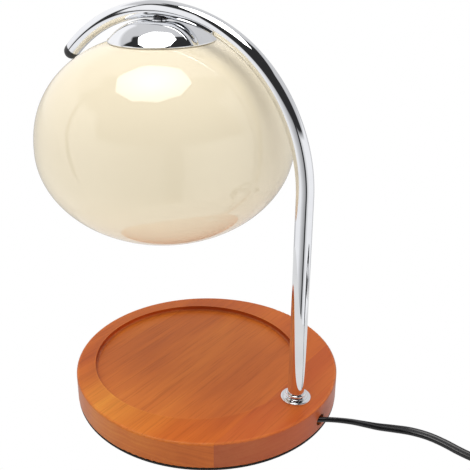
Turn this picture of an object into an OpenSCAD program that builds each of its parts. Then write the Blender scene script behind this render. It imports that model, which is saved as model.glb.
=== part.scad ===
// Candle warmer lamp: wooden base, bent chrome stem, opal glass shade and a flat two-core cord.
// Z is up and z = 0 is the table. The stem stands on +X, and the arch runs over the base towards -X.

/* [Base] */
// Diameter of the wooden base
base_d = 172; // [165:1:190]
// Thickness of the wooden base
base_h = 17.5; // [16.5:0.5:24]
// Radius along the top and bottom edges of the base
base_edge_r = 1.2; // [0.6:0.1:3]
// Thickness of the soft pad under the base
pad_h = 1.5; // [1:0.1:3]
// How far the pad stays inside the edge of the base
pad_inset = 1.3; // [0.5:0.1:4]
// Width of the rim round the candle recess on the far side from the stem
rim_narrow = 10; // [8:0.5:12]
// Width of the rim at the stem
rim_wide = 26; // [25.5:0.5:30]
// Depth of the candle recess
recess_depth = 3.5; // [2:0.5:4]
// Radius between the recess wall and its floor
recess_fillet_r = 1.5; // [0.5:0.1:1.8]

/* [Stem] */
// Outside diameter of the tube
tube_d = 10; // [9:0.5:12]
// Wall of the tube
tube_wall = 1; // [0.6:0.1:1.2]
// Distance of the stem from the edge of the base
stem_inset = 16.6; // [15.8:0.2:18]
// Height above the table where the bend begins
bend_z = 150; // [145:1:170]
// Bend radius of the shoulder, to the middle of the tube
shoulder_r = 93; // [88:1:98]
// Turn of the shoulder in degrees
shoulder_turn = 70; // [55:1:80]
// Bend radius of the arch over the shade, to the middle of the tube
arch_r = 113; // [105:1:120]
// Turn from upright to the free end in degrees
arch_turn = 132; // [115:1:140]
// Length of the rounded end cap outside the tube
end_cap_l = 8; // [5:0.5:12]
// Diameter of the flange on the base
flange_d = 18.4; // [16:0.2:18.6]
// Height of the flange
flange_h = 4.4; // [3.5:0.1:6]

/* [Shade] */
// Widest diameter of the glass shade
shade_d = 159.2; // [150:0.2:164]
// Height of the glass above its widest part
shade_up = 65.8; // [62:0.1:69]
// Fullness of the glass above its widest part: 2 is an ellipse, and more is fuller
shade_fullness = 2.2; // [2:0.05:2.6]
// Height of the full curve below its widest part
shade_down = 60; // [54:0.5:66]
// Wall of the glass
glass_wall = 3; // [2:0.1:4]
// Diameter of the opening below
shade_mouth_d = 68; // [60:1:76]
// Diameter of the hole at the top of the glass
glass_hole_d = 12; // [10:0.5:14]
// Diameter of the chrome cap
cap_d = 63.4; // [56:0.2:72]
// Thickness of the cap's metal
cap_wall = 0.9; // [0.6:0.1:1.2]
// Height of the dome of the cap above its rim
cap_rise = 11.5; // [10:0.1:14]
// Height of the collar between the cap and the tube
collar_gap = 0.5; // [0.4:0.1:2]
// Outside diameter of the collar
collar_d = 9; // [8.5:0.5:12]
// Outside diameter of the hollow threaded stud that carries the shade
nipple_d = 7; // [6:0.5:7]
// Bore of the threaded stud
nipple_bore = 4.6; // [4:0.1:5]

/* [Lamp] */
// Diameter of the ceramic lampholder
holder_d = 30; // [28:1:34]
// Height of the ceramic lampholder
holder_h = 16; // [15:0.5:20]
// Length of the bracket's legs
bracket_drop = 16.5; // [16:0.5:24]
// Distance between the pins of the bulb
pin_pitch = 10; // [9.5:0.1:10.5]
// Twist that locks the bulb, in degrees
lock_turn = 20; // [15:1:30]
// Diameter of the bulb at its front
bulb_d = 50; // [46:1:51]
// Length of the bulb without its pins
bulb_l = 50; // [46:1:54]

/* [Cord] */
// Width of the flat cord
cord_w = 6.2; // [5.4:0.1:6.4]
// Thickness of the flat cord
cord_t = 3.1; // [2.7:0.1:3.3]
// Height of the cord hole above the table
cord_hole_z = 8.4; // [7:0.1:9]
// Diameter of the cord hole
cord_hole_d = 6.9; // [6.6:0.1:7.6]

/* [Dimmer] */
// Length of the in-line dimmer
dimmer_l = 64; // [58:1:72]
// Width of the in-line dimmer
dimmer_w = 28; // [26:1:30]
// Height of the in-line dimmer
dimmer_h = 20; // [18:0.5:24]
// Wall of the dimmer's shells
dimmer_wall = 2; // [1.5:0.1:2.5]
// Diameter of the thumb wheel
wheel_d = 34; // [32:0.5:36]
// Thickness of the thumb wheel
wheel_h = 5.6; // [4.5:0.1:6.5]

/* [Plug] */
// Distance between the plug's blades
blade_pitch = 12.7; // [12:0.1:13.4]
// Length of the blades outside the plug
blade_l = 17; // [15:0.5:18]

/* [Hidden] */
$fn = 64;

// Gap of a fit between fixed pieces, and of a piece that turns
fit = 0.05;
run = 0.3;
// Overshoot of a cut past the face it opens
cut = 1;

// Heights of the base
base_top = pad_h + base_h;
recess_floor = base_top - recess_depth;

// The recess and the stem keep their places on the rim
recess_d = base_d - rim_narrow - rim_wide;
recess_set_back = (rim_wide - rim_narrow) / 2;
stem_x = base_d / 2 - stem_inset;

// Wiring pocket under the base, round the foot of the stem and on towards the middle
pocket_w = 26;
pocket_l = 52;
pocket_roof = pad_h + 11;
washer_d = 17;
washer_h = 1.2;
nut_h = 3.4;
stem_nut_af = 13;
nut_top = pocket_roof - washer_h;
tube_foot = nut_top - nut_h - 1;
tube_bore = tube_d - 2 * tube_wall;

// Bends of the tube in the XZ plane, and the top of the arch
shoulder_x = stem_x - shoulder_r;
arch_x = shoulder_x - (arch_r - shoulder_r) * cos(shoulder_turn);
arch_z = bend_z - (arch_r - shoulder_r) * sin(shoulder_turn);
arch_top = arch_z + arch_r;
end_plug_l = 6;
end_plug_sag = pow(end_plug_l, 2) / (2 * arch_r);

// Stack of pieces that hangs from the arch, from the top down
cap_top = arch_top - tube_d / 2 - collar_gap;
collar_sag = pow(collar_d / 2, 2) / (2 * arch_r);
collar_saddle = 1.2;
cap_rim_z = cap_top - cap_rise;
cap_bead_r = 0.7;
cap_bead_at = (cap_d - cap_wall) / 2;
// The cap's bead rests on the glass, and the gasket fills the height between them at the middle
shade_z = cap_rim_z - cap_bead_r - 2 * fit - full_z(shade_d / 2, shade_up, cap_bead_at);
shade_top = shade_z + shade_up;
cap_gasket_r = 9;
cap_under = cap_rim_z + ellipse_z(cap_d / 2 - cap_wall, cap_rise - cap_wall, cap_gasket_r);
cap_gasket_h = cap_under - fit - shade_top;
glass_in_r = shade_d / 2 - glass_wall;
glass_gasket_r = 10;
glass_gasket_h = 1;
seat_z = shade_z + full_z(glass_in_r, shade_up - glass_wall, glass_gasket_r) - fit;
retaining_d = 26;
retaining_h = 1.2;
retaining_z = seat_z - glass_gasket_h - retaining_h;
lock_nut_af = 12;
lock_nut_h = 4;
shade_nut_z = retaining_z - lock_nut_h;
bracket_t = 1.2;
bracket_top = shade_nut_z;
bracket_w = 12;
bracket_l = holder_d + 5;
bracket_toe = 3.2;
bracket_nut_z = bracket_top - bracket_t - lock_nut_h;
nipple_z = bracket_nut_z - 0.8;
holder_top = bracket_top - bracket_drop;
holder_z = holder_top - holder_h;
holder_screw_x = holder_d / 2 - 3.6;
holder_screw_d = 3;
holder_screw_l = 7;
screw_head_h = 1.8;
face_h = 3;
cavity_r = pin_pitch / 2 + 4;
pin_neck_d = 3.1;
pin_head_d = 5;
pin_head_h = 2.6;
contact_h = 1;
cavity_top = holder_z + face_h + pin_head_h + 2 * run + contact_h;
bulb_top = holder_z - run;
bulb_front = bulb_top - bulb_l;
bulb_neck_d = 25;
bulb_neck_l = 15;
reflector_wall = 1.4;
lens_h = 2.4;
lens_d = bulb_d - 2 * reflector_wall;
capsule_d = 9;
capsule_l = 15;

// Cord hole: drilled askew, so that the cord leaves towards the side
cord_hole_turn = 38;
cord_exit_turn = 1.5;
cord_exit = [base_d / 2 * cos(cord_exit_turn), base_d / 2 * sin(cord_exit_turn), cord_hole_z];
cord_dir = [cos(cord_hole_turn), sin(cord_hole_turn), 0];
exit_roll = 38;
stub_l = 7.6;
stub_end = cord_exit - stub_l * cord_dir;
stop_d = cord_hole_d + 0.7;
stop_h = 2;
stop_from = 0.5;
stop_lead = 3.2;

// Wires inside the base and the tube
core_d = 2;
core_pitch = cord_w / 2;
core_wide = [sin(cord_hole_turn) * cos(exit_roll), -cos(cord_hole_turn) * cos(exit_roll), sin(exit_roll)];
splice_d = 5;
splice_l = 12;
splice_y = 4.5;
splice_z = pad_h + 4.2;
splice_x = stem_x - 18;
lead_d = 1.6;
lead_y = 1.1;
lead_holder_y = 3.6;

// In-line dimmer, past the edge of the base
dimmer_at = [base_d / 2 + 138, 31];
dimmer_cord_z = 5.6;
dimmer_edge_r = 4;
dimmer_half = dimmer_h / 2;
dimmer_screw_x = dimmer_l / 2 - 9;
dimmer_in = [dimmer_at[0] - dimmer_l / 2 + dimmer_wall, dimmer_at[1], dimmer_cord_z];
dimmer_out = [dimmer_at[0] + dimmer_l / 2 - dimmer_wall, dimmer_at[1], dimmer_cord_z];
wheel_z = dimmer_half - wheel_h / 2;
wheel_notches = 30;
pot_shaft_d = 6;
pot_w = 14;
board_l = 36;
board_w = 20;
board_h = 1.6;
board_z = dimmer_wall + run;
boss_d = 6;
small_screw_d = 2.4;

// Coil: two layers of flat cord on edge, wound inwards below and outwards above, and its tie
coil_at = [base_d / 2 + 172, 94];
coil_r = 43;
coil_step = 7;
coil_layer_h = cord_w + 0.7;
coil_turns = 2.375;
climb_turns = 0.5;
coil_ends = 2 * coil_turns + climb_turns;
loop_rings = 24;
tie_wall = 0.8;
tie_w = 8;
tie_turn = 215;
coil_z = tie_wall + run + cord_w / 2;
coil_top_z = coil_z + coil_layer_h;

// Plug beside the coil
plug_at = [base_d / 2 + 98, 137];
plug_l = 26;
plug_w = 24;
plug_h = 15;
plug_neck_l = 20;
plug_neck_w = 8.6;
plug_neck_h = 5.6;
plug_neck_taper = 0.7;
plug_corner_r = 2;
plug_lip_l = 4;
plug_lip_step = 0.8;
plug_slots = 6;
plug_slot_step = plug_neck_l / (plug_slots + 1);
plug_slot_w = 1.2;
plug_slot_depth = 0.9;
blade_w = 6.35;
blade_t = 1.5;

// Routes of the free cord on the table: places chosen by hand from the edge of the base, then joined
// by a smooth curve
cord_z = cord_t / 2;
function from_edge(places) = [for (q = places) q + [base_d / 2, 0, 0]];
lead_route = concat([cord_exit, cord_exit + 4 * cord_dir], from_edge([
    [9, 9, 8], [15, 14, 6.6], [21, 19, 4.6], [28, 24, 2.8], [36, 29, 2], [45, 33.5, cord_z],
    [55, 35.5, cord_z], [65, 35.2, cord_z], [75, 33.6, cord_z], [84, 32.2, 2.2], [92, 31.4, 3.6],
    [100, 31, 5.2]]), [dimmer_in]);
lead_rolls = [exit_roll, exit_roll, 34, 28, 20, 12, 6, 0, 0, 0, 0, 0, 0, 0, 0];
link_route = concat([dimmer_out], from_edge([
    [177, 31, 5.6], [184, 31.8, 5.4], [190, 33.5, 5.2], [196, 36.3, 5], [201.5, 40, 4.7], [206.3, 44.6, 4.4],
    [210, 50, 4.3], [212.8, 56, 4.2], [214.5, 62.5, 4.2], [215, 70, 4.2], [215, 78, 4.2], [215, 86, 4.2]]),
    [[coil_at[0] + coil_r, coil_at[1], coil_z]]);
link_rolls = [0, 0, 8, 18, 30, 44, 58, 70, 80, 87, 90, 90, 90, 90];
tail_route = concat([coil_at_turn(coil_ends)], from_edge([
    [165, 137, coil_top_z], [158, 137, 10.8], [151, 137, 10.2], [144, 137, 9.2], [138, 137, 8.3]]),
    [[plug_at[0] + plug_l / 2 + plug_neck_l, plug_at[1], plug_h / 2]]);
tail_rolls = [90, 90, 74, 48, 22, 6, 0];

// Sweep of a flat two-core section along a route
function unit(v) = v / norm(v);
function clampi(i, n) = max(0, min(n - 1, i));
function spline_at(p, i, t) =
    let (n = len(p), a = p[clampi(i - 1, n)], b = p[i], c = p[clampi(i + 1, n)], d = p[clampi(i + 2, n)])
    0.5 * (2 * b + (c - a) * t + (2 * a - 5 * b + 4 * c - d) * t * t + (3 * b - a - 3 * c + d) * t * t * t);
function smooth(p, parts) = concat(
    [for (i = [0 : len(p) - 2]) for (k = [0 : parts - 1]) spline_at(p, i, k / parts)],
    [p[len(p) - 1]]);
function tangent(p, i) = unit(p[clampi(i + 1, len(p))] - p[clampi(i - 1, len(p))]);
function twin_section(w, t) =
    [[w / 2, 0], [w / 4, t / 2], [0, t * 0.32], [-w / 4, t / 2],
     [-w / 2, 0], [-w / 4, -t / 2], [0, -t * 0.32], [w / 4, -t / 2]];
function round_section(d, sides) =
    [for (k = [0 : sides - 1]) d / 2 * [cos(360 * k / sides), sin(360 * k / sides)]];
function ring(p, i, section, roll, up) =
    let (t = tangent(p, i), s = unit(cross(t, up)), n = cross(s, t), c = cos(roll), d = sin(roll))
    [for (q = section) p[i] + s * (q[0] * c - q[1] * d) + n * (q[0] * d + q[1] * c)];
module sweep(p, section, rolls, up = [0, 0, 1]) {
    m = len(section);
    last = len(p) - 1;
    polyhedron(
        points = [for (i = [0 : last]) each ring(p, i, section, rolls[i], up)],
        faces = concat(
            [for (k = [1 : m - 2]) [0, k, k + 1]],
            [for (k = [1 : m - 2]) [last * m, last * m + k + 1, last * m + k]],
            [for (i = [0 : last - 1]) for (k = [0 : m - 1]) let (j = (k + 1) % m)
                each [[i * m + k, (i + 1) * m + k, (i + 1) * m + j],
                      [i * m + k, (i + 1) * m + j, i * m + j]]]));
}
module flat_cord(route, rolls, parts = 1)
    color("#1b1b1c")
    sweep(smooth(route, parts), twin_section(cord_w, cord_t), smooth(rolls, parts));
module wire(route, d, up)
    sweep(smooth(route, 2), round_section(d, 8), [for (i = [0 : 2 * len(route)]) 0], up);

// Points of the coil: the radius shrinks turn by turn, holds for the climb and grows on the layer above
function coil_radius(t) = coil_r - coil_step * min(t, coil_turns, coil_ends - t);
function coil_height(t) = coil_z + coil_layer_h * max(0, min(1, (t - coil_turns) / climb_turns));
function coil_at_turn(t) =
    [coil_at[0] + coil_radius(t) * cos(360 * t), coil_at[1] + coil_radius(t) * sin(360 * t), coil_height(t)];
coil_points = [for (k = [0 : coil_ends * loop_rings]) coil_at_turn(k / loop_rings)];

// Least gap between turns of the coil, measured from point to point with the cord on edge
function pair_gap(a, b) = max(norm([a[0] - b[0], a[1] - b[1]]) - cord_t, abs(a[2] - b[2]) - cord_w);
coil_gaps = [for (i = [0 : len(coil_points) - 1]) for (j = [i + loop_rings / 2 : len(coil_points) - 1])
    pair_gap(coil_points[i], coil_points[j])];
echo(coil_least_gap = min(coil_gaps));

// Middle of the tube at a turn of the bend, and the route of a wire up the tube and down the stud
function tube_at(turn) = turn <= shoulder_turn
    ? [shoulder_x + shoulder_r * cos(turn), bend_z + shoulder_r * sin(turn)]
    : [arch_x + arch_r * cos(turn), arch_z + arch_r * sin(turn)];
function lead_route_up(s) = concat(
    [[splice_x + run, s * splice_y, splice_z - 1.2], [splice_x + 6, s * 3.6, 4.4],
     [splice_x + 12, s * 2, 3.6], [stem_x - 1.5, s * lead_y, 4.4], [stem_x, s * lead_y, 8],
     [stem_x, s * lead_y, 16]],
    [for (k = [1 : 5]) [stem_x, s * lead_y, bend_z * k / 5]],
    [for (k = [1 : 8]) let (q = tube_at(84 * k / 8)) [q[0], s * lead_y, q[1]]],
    [[arch_x + 2.5, s * lead_y, arch_top - 1.2], [arch_x + 0.3, s * lead_y, arch_top - 4],
     [arch_x, s * lead_y, cap_top], [arch_x, s * lead_y, shade_nut_z], [arch_x, s * lead_y, nipple_z],
     [arch_x, s * lead_holder_y, nipple_z - 5], [arch_x, s * lead_holder_y, holder_top],
     [arch_x, s * lead_holder_y, cavity_top]]);
core_gap = 0.4;
function core_start(s) = stub_end - core_gap * cord_dir + s * core_pitch / 2 * core_wide;
function core_route(s) = concat([core_start(s)], s > 0
        ? [core_start(s) - 2 * cord_dir, [stem_x + 5.5, -9.6, 7.4]]
        : [core_start(s) - 1.2 * cord_dir - [0, 0, 1.4], [stem_x + 8, 0.8, 4.2], [stem_x + 7, 8, 5]],
    [[stem_x, -s * 10.8, 4.6], [stem_x - 9, -s * 8.6, 5], [splice_x + 4, -s * splice_y, splice_z + 1],
     [splice_x + run, -s * splice_y, splice_z + 1]]);

// Profiles with half axes a and b: an ellipse for the cap and below, a fuller curve for the glass above
function ellipse_z(a, b, r) = b * sqrt(1 - pow(r / a, 2));
function full_z(a, b, r) = b * pow(1 - pow(r / a, shade_fullness), 1 / shade_fullness);
function full_turn(a, r) = acos(pow(r / a, shade_fullness / 2));
function dome_points(a, b, from, to, steps) =
    [for (k = [0 : steps]) let (t = from + (to - from) * k / steps) [a * cos(t), b * sin(t)]];
function glass_points(a, up, down, from, to, steps) =
    [for (k = [0 : steps]) let (t = from + (to - from) * k / steps) t <= 0 ? [a * cos(t), down * sin(t)]
        : [a * pow(cos(t), 2 / shade_fullness), up * pow(sin(t), 2 / shade_fullness)]];

module at_shade(z) translate([arch_x, 0, z]) children();
module ring_plate(d, bore, h) difference() {
    cylinder(d = d, h = h);
    translate([0, 0, -cut]) cylinder(d = bore, h = h + 2 * cut);
}
module hex_nut(af, bore, h) difference() {
    cylinder(d = af / cos(30), h = h, $fn = 6);
    translate([0, 0, -cut]) cylinder(d = bore, h = h + 2 * cut);
}
module rounded_rect(l, h, r) union() {
    square([l - 2 * r, h], center = true);
    square([l, h - 2 * r], center = true);
    for (x = [-1, 1]) for (y = [-1, 1]) translate([x * (l / 2 - r), y * (h / 2 - r)]) circle(r = r);
}
module stadium(l, w) union() {
    square([l - w, w], center = true);
    for (s = [-1, 1]) translate([s * (l - w) / 2, 0]) circle(d = w);
}

// The tube's stretches: upright and shoulder, then the arch over the shade
module tube_section(d, bore) difference() {
    circle(d = d);
    circle(d = bore);
}
module arch_bend(from, to) translate([arch_x, 0, arch_z]) rotate([90, 0, 0]) rotate([0, 0, from])
    rotate_extrude(angle = to - from) translate([arch_r, 0]) children();
module shoulder_bend() translate([shoulder_x, 0, bend_z]) rotate([90, 0, 0])
    rotate_extrude(angle = shoulder_turn) translate([shoulder_r, 0]) children();
module at_tube_end() translate([arch_x, 0, arch_z]) rotate([0, -arch_turn, 0])
    translate([arch_r, 0, 0]) children();

module base_disc() color("#b5622b") difference() {
    rotate_extrude() base_outline();
    translate([-recess_set_back, 0, 0]) rotate_extrude() recess_outline();
    translate([stem_x, 0, 0]) cylinder(d = tube_d + 2 * fit, h = base_top + cut);
    translate([0, 0, pad_h - cut]) linear_extrude(pocket_roof - pad_h + cut) pocket_outline();
    along_cord_hole() {
        cylinder(d = cord_hole_d, h = stub_l + base_d / 4);
        translate([0, 0, -stop_lead])
            cylinder(d = stop_d + 2 * fit, h = stop_lead + stop_from + stop_h + fit);
    }
}
module base_outline() {
    r = base_d / 2;
    translate([0, pad_h]) union() {
        square([r - base_edge_r, base_h]);
        translate([0, base_edge_r]) square([r, base_h - 2 * base_edge_r]);
        for (z = [base_edge_r, base_h - base_edge_r]) translate([r - base_edge_r, z]) circle(r = base_edge_r);
    }
}
module recess_outline() {
    r = recess_d / 2;
    f = recess_fillet_r;
    union() {
        translate([0, recess_floor]) square([r - f, recess_depth + cut]);
        translate([0, recess_floor + f]) square([r, recess_depth - f + cut]);
        translate([r - f, recess_floor + f]) circle(r = f);
    }
}
module pocket_outline() translate([stem_x - (pocket_l - pocket_w) / 2, 0]) stadium(pocket_l, pocket_w);
module along_cord_hole() translate(stub_end) rotate([0, 90, cord_hole_turn]) children();

module base_pad() color("#161616") cylinder(d = base_d - 2 * pad_inset, h = pad_h);

module cord_stub() color("#1b1b1c")
    sweep([stub_end, (stub_end + cord_exit) / 2, cord_exit], twin_section(cord_w, cord_t),
        [exit_roll, exit_roll, exit_roll]);

module cord_stop() color("#e8e4da") along_cord_hole()
    translate([0, 0, stop_from]) ring_plate(stop_d, cord_w + 2 * fit, stop_h);
module core_wires() color("#8d6a3a") for (s = [-1, 1]) wire(core_route(s), core_d, [0, 0, 1]);
module wire_splices() color("#d8d2c4") for (s = [-1, 1])
    translate([splice_x, s * splice_y, splice_z]) rotate([0, -90, 0]) cylinder(d = splice_d, h = splice_l);

module stem_tube() color("#d9dcdf") union() {
    translate([stem_x, 0, tube_foot]) linear_extrude(bend_z - tube_foot) tube_section(tube_d, tube_bore);
    shoulder_bend() tube_section(tube_d, tube_bore);
}
module arch_tube() color("#d9dcdf") difference() {
    arch_bend(shoulder_turn, arch_turn) tube_section(tube_d, tube_bore);
    at_shade(arch_top - tube_d) cylinder(d = nipple_d + 2 * fit, h = tube_d);
}
module stem_flange() color("#d9dcdf") translate([stem_x, 0, base_top]) rotate_extrude() difference() {
    flange_outline();
    square([tube_d / 2 + fit, flange_h + cut]);
}
module flange_outline() {
    disc_h = flange_h * 0.32;
    step_h = flange_h * 0.55;
    edge_r = 0.5;
    union() {
        square([flange_d / 2 - edge_r, disc_h]);
        square([flange_d / 2, disc_h - edge_r]);
        translate([flange_d / 2 - edge_r, disc_h - edge_r]) circle(r = edge_r);
        square([tube_d / 2 + 2, step_h]);
        square([tube_d / 2 + 1.2, flange_h]);
    }
}
module stem_washer() color("#b9bdc2") translate([stem_x, 0, nut_top])
    ring_plate(washer_d, tube_d + 2 * fit, washer_h);
module stem_nut() color("#b9bdc2") translate([stem_x, 0, nut_top - nut_h]) rotate([0, 0, 30])
    hex_nut(stem_nut_af, tube_d + 2 * fit, nut_h);
module tube_end_cap() color("#141414") at_tube_end() union() {
    straight = end_cap_l - tube_d / 2;
    cylinder(d = tube_d, h = straight);
    translate([0, 0, straight]) sphere(d = tube_d);
    translate([0, 0, -end_plug_l]) cylinder(d = tube_bore - 2 * fit - 2 * end_plug_sag, h = end_plug_l);
}
module lead_wires() color("#e9e2d0") for (s = [-1, 1]) wire(lead_route_up(s), lead_d, [0, 1, 0]);

module hanger_nipple() color("#c9a24a") at_shade(nipple_z)
    ring_plate(nipple_d, nipple_bore, arch_top - tube_d / 2 + tube_wall - 0.2 - nipple_z);
module hanger_collar() color("#d9dcdf") difference() {
    at_shade(cap_top) ring_plate(collar_d, nipple_d + 2 * fit, collar_gap + collar_saddle);
    at_shade(arch_top - collar_sag) rotate([0, 90, 0])
        cylinder(d = tube_d + 2 * fit, h = collar_d + 2 * cut, center = true);
}
module shade_cap() color("#d9dcdf") at_shade(cap_rim_z) rotate_extrude() cap_outline();
module cap_outline() {
    r = cap_d / 2;
    r_in = r - cap_wall;
    rise_in = cap_rise - cap_wall;
    hole = nipple_d / 2 + fit;
    bead_from = 40;
    bead_z = cap_bead_r * sin(bead_from);
    steps = 24;
    polygon(concat(
        dome_points(r, cap_rise, acos(hole / r), asin(bead_z / cap_rise), steps),
        [for (t = [bead_from : -20 : -180 - bead_from]) [cap_bead_at, 0] + cap_bead_r * [cos(t), sin(t)]],
        dome_points(r_in, rise_in, asin(bead_z / rise_in), acos(hole / r_in), steps)));
}
module cap_gasket() color("#efece4") at_shade(shade_top)
    ring_plate(2 * cap_gasket_r, nipple_d + 2 * run, cap_gasket_h);
module glass_shade() color("#efe6d2") at_shade(shade_z) rotate_extrude() glass_outline();
module glass_outline() {
    a = shade_d / 2;
    b = glass_in_r;
    hole = glass_hole_d / 2;
    mouth = shade_mouth_d / 2;
    steps = 42;
    lip_out = ellipse_z(a, shade_down, mouth);
    lip_in = ellipse_z(b, shade_down - glass_wall, mouth);
    polygon(concat(
        glass_points(a, shade_up, shade_down, full_turn(a, hole), -acos(mouth / a), steps),
        [for (t = [-105 : -15 : -255])
            [mouth, -(lip_out + lip_in) / 2] + (lip_out - lip_in) / 2 * [cos(t), sin(t)]],
        glass_points(b, shade_up - glass_wall, shade_down - glass_wall,
            -acos(mouth / b), full_turn(b, hole), steps)));
}
module glass_gasket() color("#efece4") at_shade(seat_z - glass_gasket_h)
    ring_plate(2 * glass_gasket_r, nipple_d + 2 * run, glass_gasket_h);
module retaining_washer() color("#b9bdc2") at_shade(retaining_z)
    ring_plate(retaining_d, nipple_d + 2 * fit, retaining_h);
module shade_nut() color("#b9bdc2") at_shade(shade_nut_z)
    hex_nut(lock_nut_af, nipple_d + 2 * fit, lock_nut_h);
module bracket_nut() color("#b9bdc2") at_shade(bracket_nut_z)
    hex_nut(lock_nut_af, nipple_d + 2 * fit, lock_nut_h);
module holder_bracket() color("#b9bdc2") at_shade(0) difference() {
    union() {
        translate([-bracket_l / 2, -bracket_w / 2, bracket_top - bracket_t])
            cube([bracket_l, bracket_w, bracket_t]);
        for (side = [0, 1]) mirror([side, 0, 0]) {
            translate([bracket_l / 2 - bracket_t, -bracket_w / 2, holder_top])
                cube([bracket_t, bracket_w, bracket_drop]);
            translate([holder_screw_x - bracket_toe, -bracket_w / 2, holder_top])
                cube([bracket_l / 2 - holder_screw_x + bracket_toe, bracket_w, bracket_t]);
        }
    }
    translate([0, 0, bracket_top - bracket_t - cut])
        cylinder(d = nipple_d + 2 * fit, h = bracket_t + 2 * cut);
    at_holder_screws(holder_top - cut) cylinder(d = holder_screw_d + 2 * fit, h = bracket_t + 2 * cut);
}
module at_holder_screws(z) for (s = [-1, 1]) translate([s * holder_screw_x, 0, z]) children();
module holder_screws() color("#b9bdc2") at_shade(0) at_holder_screws(holder_top - holder_screw_l) union() {
    cylinder(d = holder_screw_d, h = holder_screw_l + bracket_t);
    translate([0, 0, holder_screw_l + bracket_t]) cylinder(d = 1.8 * holder_screw_d, h = screw_head_h);
}
module lampholder() color("#ece7dc") at_shade(0) difference() {
    translate([0, 0, holder_z]) cylinder(d = holder_d, h = holder_h);
    translate([0, 0, holder_z + face_h]) cylinder(r = cavity_r, h = cavity_top - holder_z - face_h);
    at_holder_screws(holder_top - holder_screw_l - run)
        cylinder(d = holder_screw_d + 2 * fit, h = holder_screw_l + run + cut);
    for (s = [-1, 1]) {
        translate([0, s * lead_holder_y, cavity_top - cut])
            cylinder(d = lead_d + 2 * run, h = holder_top - cavity_top + 2 * cut);
        rotate([0, 0, s * 90]) pin_slot();
    }
}
module pin_slot() translate([0, 0, holder_z - cut]) {
    slot_w = pin_neck_d + 2 * run;
    rotate_extrude(angle = lock_turn)
        translate([pin_pitch / 2 - slot_w / 2, 0]) square([slot_w, face_h + 2 * cut]);
    translate([pin_pitch / 2, 0, 0]) cylinder(d = slot_w, h = face_h + 2 * cut);
    rotate([0, 0, lock_turn]) translate([pin_pitch / 2, 0, 0])
        cylinder(d = pin_head_d + 2 * run, h = face_h + 2 * cut);
}
module holder_contacts() color("#c9a24a") at_shade(cavity_top - contact_h) for (s = [-1, 1])
    translate([-3, s * pin_pitch / 2 - 3, 0]) cube([6, 6, contact_h]);
module bulb_base() color("#e6dfd0") at_shade(bulb_top) rotate_extrude()
    polygon([[0, 0], [bulb_neck_d / 2 - 2, 0], [bulb_neck_d / 2 - fit, -5],
        [bulb_neck_d / 2 - fit, -bulb_neck_l - reflector_wall], [0, -bulb_neck_l - reflector_wall]]);
module bulb_pins() color("#c9ccd0") at_shade(bulb_top) for (s = [-1, 1])
    translate([0, s * pin_pitch / 2, 0]) union() {
        cylinder(d = pin_neck_d, h = face_h + 2 * run);
        translate([0, 0, face_h + 2 * run]) cylinder(d = pin_head_d, h = pin_head_h);
    }
module bulb_reflector() color("#cfd2d6") at_shade(bulb_top - bulb_neck_l) rotate_extrude() {
    flare = bulb_d / 2 - bulb_neck_d / 2;
    depth = bulb_l - bulb_neck_l;
    polygon(concat(
        [for (k = [0 : 12]) [bulb_neck_d / 2 + flare * sin(7.5 * k), -depth * (1 - cos(7.5 * k))]],
        [for (k = [12 : -1 : 0]) [bulb_neck_d / 2 + (flare - reflector_wall) * sin(7.5 * k),
            -reflector_wall - (depth - reflector_wall) * (1 - cos(7.5 * k))]]));
}
module bulb_lens() color("#dfe6ea") at_shade(bulb_front) cylinder(d = lens_d - 4 * fit, h = lens_h);
module bulb_capsule() color("#e9eef2") at_shade(bulb_top - bulb_neck_l - reflector_wall) union() {
    translate([0, 0, -capsule_l]) cylinder(d = capsule_d, h = capsule_l);
    translate([0, 0, -capsule_l]) sphere(d = capsule_d);
}

module cord_lead() flat_cord(lead_route, lead_rolls, 2);
module at_dimmer(z) translate([dimmer_at[0], dimmer_at[1], z]) children();
module dimmer_profile(grow) intersection() {
    union() {
        square([dimmer_w / 2 + grow, dimmer_h - dimmer_edge_r]);
        translate([0, grow]) square([dimmer_w / 2 - dimmer_edge_r, dimmer_h]);
        translate([dimmer_w / 2 - dimmer_edge_r, dimmer_h - dimmer_edge_r]) circle(r = dimmer_edge_r + grow);
    }
    translate([0, -grow]) square([dimmer_w, dimmer_h + 2 * grow]);
}
module dimmer_solid(grow) {
    mid = dimmer_l - dimmer_w;
    for (side = [0, 1]) mirror([side, 0, 0]) translate([mid / 2, 0, 0]) rotate([0, 0, -90])
        rotate_extrude(angle = 180) dimmer_profile(grow);
    translate([-mid / 2, 0, 0]) rotate([90, 0, 90]) linear_extrude(mid) union() {
        dimmer_profile(grow);
        mirror([1, 0]) dimmer_profile(grow);
    }
}
module dimmer_shell(from, to, pilot) at_dimmer(0) difference() {
    intersection() {
        union() {
            difference() {
                dimmer_solid(0);
                dimmer_solid(-dimmer_wall);
            }
            for (s = [-1, 1]) translate([s * dimmer_screw_x, 0, 0]) cylinder(d = boss_d, h = dimmer_h - 1);
        }
        translate([-dimmer_l, -dimmer_w, from]) cube([2 * dimmer_l, 2 * dimmer_w, to - from]);
    }
    translate([0, 0, wheel_z - 2 * run]) cylinder(d = wheel_d + 4 * run, h = wheel_h + 4 * run);
    for (s = [-1, 1]) translate([s * dimmer_screw_x, 0, -cut])
        cylinder(d = pilot, h = dimmer_h - dimmer_wall);
    for (s = [-1, 1]) translate([s * dimmer_l / 2, 0, dimmer_cord_z])
        cube([2 * dimmer_wall + cut, cord_w + 4 * fit, cord_t + 4 * fit], center = true);
}
module dimmer_lower_shell() color("#1b1b1c") dimmer_shell(0, dimmer_half, small_screw_d + 2 * fit);
module dimmer_upper_shell() color("#1b1b1c") dimmer_shell(dimmer_half, dimmer_h, small_screw_d + 2 * fit);
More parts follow.
